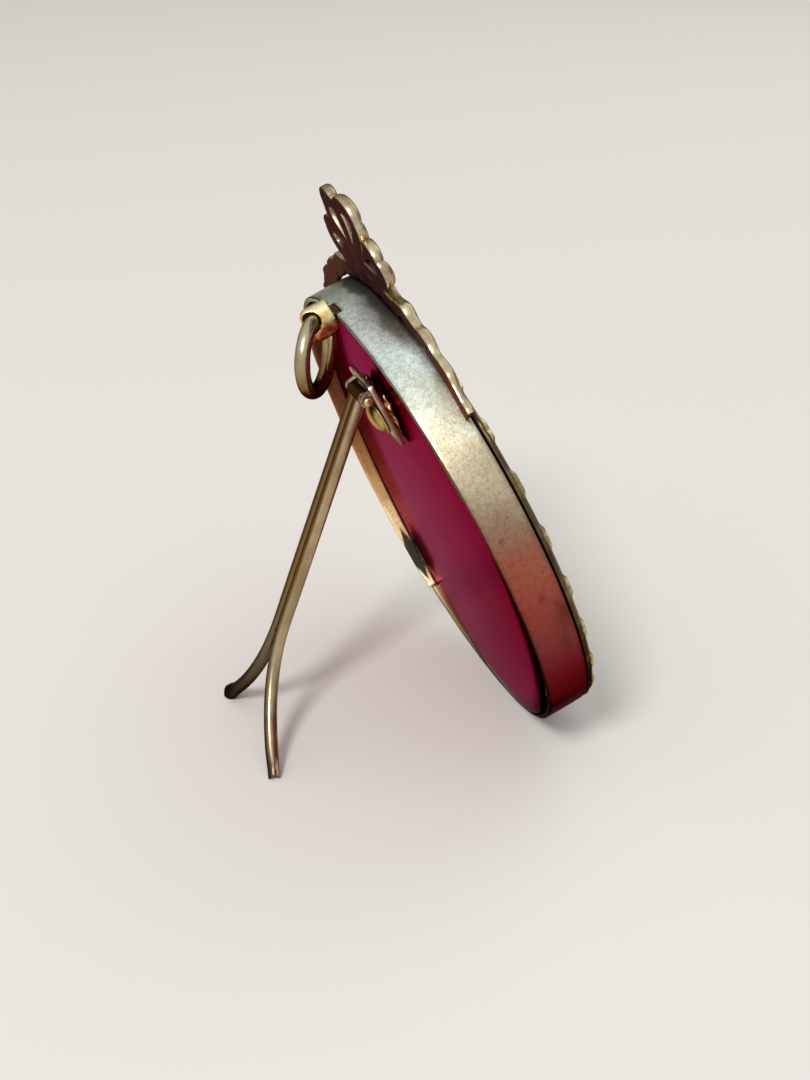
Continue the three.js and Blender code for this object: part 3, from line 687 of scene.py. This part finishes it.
# The leaf is its solid with small bevels, and its top end is bright, filed metal and a painted highlight.
def makeLeaf():
    s = hingeSet
    bevel = dict(width=s["leafBevel"] * mm, segments=3, limit_method="ANGLE", angle_limit=math.radians(40))
    leaf = copyPiece("hinge_plate", "hingeLeaf", [("BEVEL", bevel)], hingeBrass, "frame", 30)
    height = (pointsOf(leaf.data) - discMid) @ discUp / mm
    setWearAndLight(leaf.data, smoothStep(*(height.max() - np.array(s["brightEndFrom"])), height))


# The boss: a dome that sweeps out into a thin brim on the leaf's rear face.
def makeBoss():
    s = hingeSet
    swing = np.linspace(0, 1, 20)
    brim, low, rise = s["brimRadius"], s["brimHeight"], s["bossHeight"] - s["brimHeight"]
    radius = s["bossRadius"] * np.sin(swing * math.pi / 2) ** 0.9
    radius = np.array([*radius, brim - 0.12, brim, brim, brim - 0.1, 0.0])[:, None]
    height = low + rise * np.cos(swing * math.pi / 2) ** 1.1
    height = np.array([*height, low - 0.02, low - 0.12, 0.1, 0.0, 0.0])[:, None]
    spin = fullTurn(60)[None, :]
    y = s["bossAt"] - s["leafBottom"] + radius * np.sin(spin)
    points = leafPlace(pointGrid(radius * np.cos(spin), y, -s["leafThick"] - s["seat"] - height))
    wearAndLight = np.array([*(0.85 * (1 - swing)), 0.1, 0.3, 0.2, 0.0, 0.0])[:, None]
    makePiece("hingeBoss", [(points, False, True, wearAndLight)], rivetBrass, "frame", ["hinge_boss"])


# Lumps of solder between the leaf and the back at each long edge: a swollen bar whose radius rises and falls.
# They also stand in for light that the plate throws back onto the leaf's underside, a painted reflection.
def makeSolder():
    s = hingeSet
    along = np.linspace(0, 1, 60)[:, None]
    spin = fullTurn(28)[None, :]
    y = s["solderLow"] + (s["solderHigh"] - s["solderLow"]) * along
    gap = (y - s["leafBottom"]) * math.tan(math.radians(s["leafTilt"])) + s["leafGap"]
    ripple = 1 + 0.16 * np.sin(17 * along + 2 * np.cos(spin)) + 0.1 * np.sin(31 * along + 3 * spin)
    lump = np.sin(math.pi * along) ** 0.4 * ripple
    z = np.minimum(-gap / 2 + 0.5 * gap * np.clip(lump, 0, 1.1) * np.sin(spin), -0.03)
    sheets = []
    for hand in (-1, 1):
        x = hand * (s["solderX"] + s["solderHalf"] * lump * np.cos(spin))
        sheets.append((closeEnds(backPlace(pointGrid(x, y, z))), False, True, 0.0))
    makePiece("hingeSolder", sheets, solderBrass, "frame", [])


# The pin is a turned bar with a rounded head at each end, along the side axis.
def makePin():
    s = hingeSet
    swing = np.linspace(0, math.pi / 2, 7)
    head = s["headFrom"] + s["headRim"] + (s["headTo"] - s["headFrom"] - s["headRim"]) * np.sin(swing)
    along = np.array([0, s["headFrom"] - 0.001, s["headFrom"], *head])
    dome = s["headRadius"] * np.cos(swing) ** 0.7
    radius = np.array([s["pinRadius"], s["pinRadius"], s["headRadius"], *dome])
    along = np.concatenate([-along[::-1], along[1:]])[:, None]
    radius = np.concatenate([radius[::-1], radius[1:]])[:, None]
    spin = fullTurn(40)[None, :]
    points = jointPoint["strut_fold"] + mm * pointGrid(along, radius * np.cos(spin), radius * np.sin(spin))
    makePiece("hingePin", [(points, False, True, 0.5)], rivetBrass, "frame", ["hinge_pin"])


makeLeaf()
makeBoss()
makeSolder()
makePin()
print("hinge made")


# The strut: a barrel on the pin and two drawn rods that run together, then curve apart into flattened feet.
strutSet = dict(angle=42.4, rodRadius=1.1, offset=1.25, footX=18.8, tuck=1.6, forkShare=0.62, power=2.2,
                start=0.7, flatFrom=7.0, flatTo=2.0, flatWide=(1.16, 1.62), flatThin=0.76, legSwell=0.12,
                toe=1.5, filed=0.5, filedFacing=(-0.7, -0.45, 0.55), filedRings=15,
                headRadius=1.25, headHalf=3.0, headCorner=0.25, bore=0.64, webHalf=0.72)
strutBrass = agedBrass("drawnBrassRod", dict(
    clean="#8d7549", tarnish="#655232", dark="#2e2416", bright="#d2bd98",
    heights=((0, "#4a423c"), (8, "#5e564b"), (20, "#786c56"), (34, "#82694a"), (60, "#80664a")),
    patch=7.0, cloud=(0.36, 0.64), speck=0.5, speckle=0.5, rough=(0.26, 0.4), bump=0.3))
hinge = jointPoint["strut_fold"] / mm
strutFall = math.radians(strutSet["angle"]) - lean
strutLength = hinge[2] / math.cos(strutFall) + 2 * strutSet["rodRadius"]
strutAway = np.array([0.0, math.cos(strutFall), math.sin(strutFall)])


# Points along one rod, in millimetres: straight down to the fork, then aside by a power of the way past it.
def strutLine(distance, hand):
    s = strutSet
    splay = np.clip((distance / strutLength - s["forkShare"]) / (1 - s["forkShare"]), 0, None) ** s["power"]
    x = hand * (s["offset"] + (s["footX"] - s["offset"]) * splay)
    y = hinge[1] + distance * math.sin(strutFall) - s["tuck"] * splay
    z = hinge[2] - distance * math.cos(strutFall)
    return np.stack([x, y, z], 1)


def makeRod(hand, word):
    s = strutSet
    distance = np.linspace(s["start"], strutLength, 220)
    share = (distance / strutLength)[:, None]
    line = strutLine(distance, hand)
    along = np.gradient(line, axis=0)
    along /= np.linalg.norm(along, axis=1, keepdims=True)
    thick = strutAway - (along @ strutAway)[:, None] * along
    thick /= np.linalg.norm(thick, axis=1, keepdims=True)
    wide = np.cross(along, thick)
    # the section is a squared round, |u|^p + |v|^p = 1, squarer where the rods run together
    spin = fullTurn(40)
    square = 3.6 - 1.3 * smoothStep(0.5, 0.75, share)
    u = np.sign(np.cos(spin)) * np.abs(np.cos(spin)) ** (2 / square)
    v = np.sign(np.sin(spin)) * np.abs(np.sin(spin)) ** (2 / square)
    flat = smoothStep(strutLength - s["flatFrom"], strutLength - s["flatTo"], distance)[:, None]
    swell = 0.97 + s["legSwell"] * smoothStep(0.6, 0.8, share)
    wideHalf = s["rodRadius"] * (swell + (s["flatWide"][hand > 0] - 1) * flat)
    thinHalf = s["rodRadius"] * (swell + (s["flatThin"] - 1) * flat)
    points = line[:, None, :] + wide[:, None, :] * (wideHalf * u)[..., None]
    points = points + thick[:, None, :] * (thinHalf * v)[..., None]
    # the foot ends on the ground: the last ring slides along the rod until it touches
    last = int(np.argmax(points[..., 2].min(axis=1) < 0.25)) - 1
    slide = points[last][:, 2:] / -along[last][2]
    slide = np.minimum(slide, slide.min() + s["toe"])  # and the toe is cut square above its sole
    sole = points[last] + along[last] * slide
    collar = points[last] + along[last] * slide * 0.9
    cut = sole.mean(axis=0) + 0.8 * (sole - sole.mean(axis=0))
    points = closeEnds(np.concatenate([points[:last + 1], [collar, sole, cut]]))
    # a file has taken a corner off the left toe: points over its plane go back along the rod
    over = np.zeros(points.shape[:2])
    if hand < 0:
        facing = np.array(s["filedFacing"]) / np.linalg.norm(s["filedFacing"])
        over = np.clip(points @ facing - (sole @ facing).max() + s["filed"], 0, None)
        over = over * (np.arange(len(points)) > last - s["filedRings"])[:, None]
        points = points - along[last] * (over / (along[last] @ facing))[..., None]
    # the outer side is rubbed, the feet are dull and the filed corner is bright, bare metal and a painted
    # highlight
    outward = 0.6 * smoothStep(0.2, 0.9, hand * np.sign(wide[0, 0]) * np.cos(spin))[None, :]
    wearAndLight = (outward * (1 - 0.6 * flat) - 0.12 * flat)[:last + 1]
    wearAndLight = np.concatenate([wearAndLight[:1], wearAndLight, np.repeat(wearAndLight[-1:], 4, axis=0)])
    wearAndLight = np.where(over > 0.01, 1.0, wearAndLight)
    makePiece("strutRod" + word.title(), [(points * mm, False, True, wearAndLight)], strutBrass, "strut",
              ["strut_rod_" + word], 50)


# Solder fills the groove between the rods down to the fork: a hollowed bar section as wide as the rods stand.
def makeStrutSolder():
    s = strutSet
    line = strutLine(np.linspace(s["start"] + 1, s["forkShare"] * strutLength + 3.0, 60), 1)
    x = np.linspace(-1, 1, 11)
    hollow = s["webHalf"] + 0.2 * x ** 2
    across, through = np.concatenate([x, x[::-1]])[:, None], np.concatenate([hollow, -hollow[::-1]])[:, None]
    grid = (line * [0, 1, 1])[:, None, :] + across * line[:, None, :1] * side + through * strutAway
    makePiece("strutSolder", [(closeEnds(grid) * mm, False, True, 0.0)], strutBrass, "strut", [])


# The barrel is a turned tube with rounded rims, darkened all over: painted shade.
def makeStrutHead():
    s = strutSet
    loop = roundedLoop(s["headRadius"] - s["bore"], 2 * s["headHalf"], s["headCorner"], perSide=8)
    radius = (s["headRadius"] + s["bore"]) / 2 + loop[:, :1]
    turns = fullTurn(48)[None, :]
    offsets = pointGrid(loop[:, 1:] - s["headHalf"], radius * np.cos(turns), radius * np.sin(turns))
    points = jointPoint["strut_fold"] + mm * offsets
    makePiece("strutHead", [(points, True, True, -0.35)], strutBrass, "strut", ["strut_head"])


makeRod(-1, "left")
makeRod(1, "right")
makeStrutSolder()
makeStrutHead()
print("strut made")


# The lug is a casting: its solid is remeshed and relaxed so that every edge is soft. Its tenon is pressed
# down to the band's surface and shortened, so that only the notch shows round it.
lugSet = dict(voxel=0.14, relax=14, tenonEnd=0.95, tenonTop=44.9, tenonFrom=(-0.25, 0.1), dirtAndShade=0.85)
# The lug's tones by height are painted light: a pale highlight on top and a red-brown painted reflection
# underneath.
lugBrass = agedBrass("castBrassRubbed", dict(
    clean="#e2c888", tarnish="#c09a5c", dark="#5a3418", bright="#f3e2a6",
    heights=((78, "#7a2e20"), (80.3, "#bc6438"), (82, "#e6c67c"), (84, "#f9eec0")),
    patch=3.0, cloud=(0.42, 0.72), speck=0.5, speckle=0.3, rough=(0.2, 0.32), bump=0.2))


def makeLug():
    s = lugSet
    lug = copyPiece("hanging_lug", "hangingLug", [
        ("REMESH", dict(mode="VOXEL", voxel_size=s["voxel"] * mm)),
        ("SMOOTH", dict(iterations=s["relax"], factor=0.5))], lugBrass, "frame")
    x, y, z = ((pointsOf(lug.data) - discMid) / mm @ np.stack([side, discUp, discOut], 1)).T
    tenon = smoothStep(*s["tenonFrom"], z)
    y = np.minimum(y, s["tenonTop"] * tenon + y * (1 - tenon))
    z = np.where(z > 0, z * s["tenonEnd"] / z.max(), z)
    lug.data.vertices.foreach_set("co", discPlace(x, y, z).ravel())
    # the tenon is darkened, painted shade in the notch
    setWearAndLight(lug.data, -s["dirtAndShade"] * tenon)
    lug.data.update()


makeLug()
print("lug made")


# The ring: drawn wire bent round, with a butt joint. It hangs from the top of its own circle.
ringSet = dict(radius=6.5, wire=1.35, yaw=40.0, joint=205.0, jointHalf=1.2, jointDepth=0.1)
# The ring's tones by height are painted light: pale towards the top and a dark red-brown painted reflection
# at the bottom.
ringBrass = agedBrass("drawnBrassWire", dict(
    clean="#b39a68", tarnish="#7a6040", dark="#35271b", bright="#e8dcb4",
    heights=((67, "#3e1714"), (70.5, "#6a3c28"), (74.5, "#9c8c68"), (80, "#bcb498")),
    patch=4.0, cloud=(0.34, 0.62), speck=0.4, speckle=0.4, rough=(0.18, 0.3), bump=0.2))


def makeRing():
    s = ringSet
    yaw = math.radians(s["yaw"])
    across = np.array([math.cos(yaw), -math.sin(yaw), 0.0])
    normal = np.array([math.sin(yaw), math.cos(yaw), 0.0])
    up = np.array([0.0, 0.0, 1.0])
    centre = jointPoint["ring_swing"] - up * s["radius"] * mm
    turns, spin = fullTurn(360)[:, None], fullTurn(36)[None, :]
    seam = np.exp(-((np.degrees(turns) - s["joint"]) / s["jointHalf"]) ** 2)
    wire = s["wire"] * (1 + 0.012 * np.sin(3 * turns) + 0.01 * np.sin(8 * turns + 1)) - s["jointDepth"] * seam
    radial = s["radius"] + wire * np.cos(spin)
    own = pointGrid(radial * np.sin(turns), wire * np.sin(spin), radial * np.cos(turns))
    points = centre + mm * own @ np.stack([across, normal, up])
    makePiece("hangingRing", [(points, True, True, 0.0)], ringBrass, "ring", ["hanging_ring"])


makeRing()
print("ring made")


# Old drawn sheet glass: clear, with a trace of green and faint waves.
def makeGlass():
    material, tree, shader = newMaterial("drawnSheetGlass")
    place = addNode(tree, "TexCoord").outputs["Object"]
    ream = addNode(tree, "TexNoise", {"Vector": place, "Scale": 1 / (30 * mm), "Detail": 1.0})
    bump = addNode(tree, "Bump", {
        "Height": ream.outputs["Fac"], "Strength": 0.05, "Distance": 0.2 * mm})
    setInputs(tree, shader, {"Base Color": linear("#fbfdfc"), "Roughness": 0.02, "IOR": 1.5,
                             "Transmission Weight": 1.0, "Normal": bump.outputs["Normal"]})
    return material


# Card: matt paper fibre with soft foxing spots. The fibre is in millimetres.
def makeCard(name, paper, spot, fibre):
    material, tree, shader = newMaterial(name)
    place = addNode(tree, "TexCoord").outputs["Object"]
    fox = addNode(tree, "TexNoise", {
        "Vector": place, "Scale": 1 / (6 * mm), "Detail": 5.0, "Roughness": 0.65})
    foxShare = addNode(tree, "MapRange", {
        "Value": fox.outputs["Fac"], "From Min": 0.56, "From Max": 0.95, "To Max": 0.5},
        interpolation_type="SMOOTHSTEP")
    grain = addNode(tree, "TexNoise", {"Vector": place, "Scale": 1 / (fibre * mm), "Detail": 4.0})
    tone = addNode(tree, "Mix", {
        0: foxShare.outputs["Result"], 6: linear(paper), 7: linear(spot)}, data_type="RGBA").outputs[2]
    bump = addNode(tree, "Bump", {
        "Height": grain.outputs["Fac"], "Strength": 0.3, "Distance": 0.05 * mm})
    setInputs(tree, shader, {"Base Color": tone, "Roughness": 0.85, "Normal": bump.outputs["Normal"]})
    return material


def dressNode(node, material):
    solid = frame["nodes"][node]
    solid.data.materials.clear()
    solid.data.materials.append(material)


dressNode("glass_disc", makeGlass())
dressNode("sight_mount", makeCard("bevelledMountBoard", "#efe5cd", "#cdb58c", 0.4))
dressNode("picture_card", makeCard("ivoryRagCard", "#f6eede", "#d8c29a", 0.35))
dressNode("backing_card", makeCard("grayStrawboard", "#a58d68", "#7d6645", 0.8))
print("glass and cards dressed")


# Plain pale floor, a soft key from the light's side in the photograph, a weak fill, and a sky that is darker
# away from the key. Places and sizes are in metres.
stageSet = dict(floorHalf=4.0, floorTone="#d2cec8", target=(0.0, 0.0, 0.05),
                keyTravel=(0.54, -0.5, -0.68), keyFar=2.0, keySize=0.44, keyPower=28.0,
                fillAt=(0.4, -0.7, 0.8), fillSize=0.9, fillPower=2.0, skyLow=0.17, skyHigh=0.92)


def makeFloor():
    half = stageSet["floorHalf"]
    mesh = bpy.data.meshes.new("floor")
    corners = [(-half, -half, 0), (half, -half, 0), (half, half, 0), (-half, half, 0)]
    mesh.from_pydata(corners, [], [(0, 1, 2, 3)])
    floor = bpy.data.objects.new("floor", mesh)
    material, tree, shader = newMaterial("paleMattPaper")
    setInputs(tree, shader, {
        "Base Color": linear(stageSet["floorTone"]), "Roughness": 0.9, "Specular IOR Level": 0.0})
    mesh.materials.append(material)
    bpy.context.scene.collection.objects.link(floor)


def addLamp(name, place, size, power):  # a round lamp turned towards the target
    lamp = bpy.data.lights.new(name, "AREA")
    lamp.shape = "DISK"
    lamp.size = size
    lamp.energy = power
    holder = bpy.data.objects.new(name, lamp)
    bpy.context.scene.collection.objects.link(holder)
    holder.location = place
    x, y, z = np.array(stageSet["target"]) - place
    holder.rotation_euler = (math.atan2(math.hypot(x, y), -z), 0.0, math.atan2(y, x) - math.pi / 2)


def makeStage():
    s = stageSet
    makeFloor()
    travel = np.array(s["keyTravel"]) / np.linalg.norm(s["keyTravel"])
    addLamp("keyLamp", np.array(s["target"]) - travel * s["keyFar"], s["keySize"], s["keyPower"])
    addLamp("fillLamp", np.array(s["fillAt"]), s["fillSize"], s["fillPower"])
    world = bpy.data.worlds.new("studioSky")
    world.use_nodes = True
    tree = world.node_tree
    look = addNode(tree, "TexCoord").outputs["Generated"]
    facing = addNode(tree, "VectorMath", {0: look, 1: tuple(-travel)}, operation="DOT_PRODUCT")
    strength = addNode(tree, "MapRange", {
        "Value": facing.outputs["Value"], "From Min": -0.85, "From Max": 1.0,
        "To Min": s["skyLow"], "To Max": s["skyHigh"]}, interpolation_type="SMOOTHSTEP")
    setInputs(tree, tree.nodes["Background"], {
        "Color": (1.0, 1.0, 1.0, 1.0), "Strength": strength.outputs["Result"]})
    bpy.context.scene.world = world
    bpy.context.scene.view_settings.view_transform = "Standard"


makeStage()
print("stage lit")
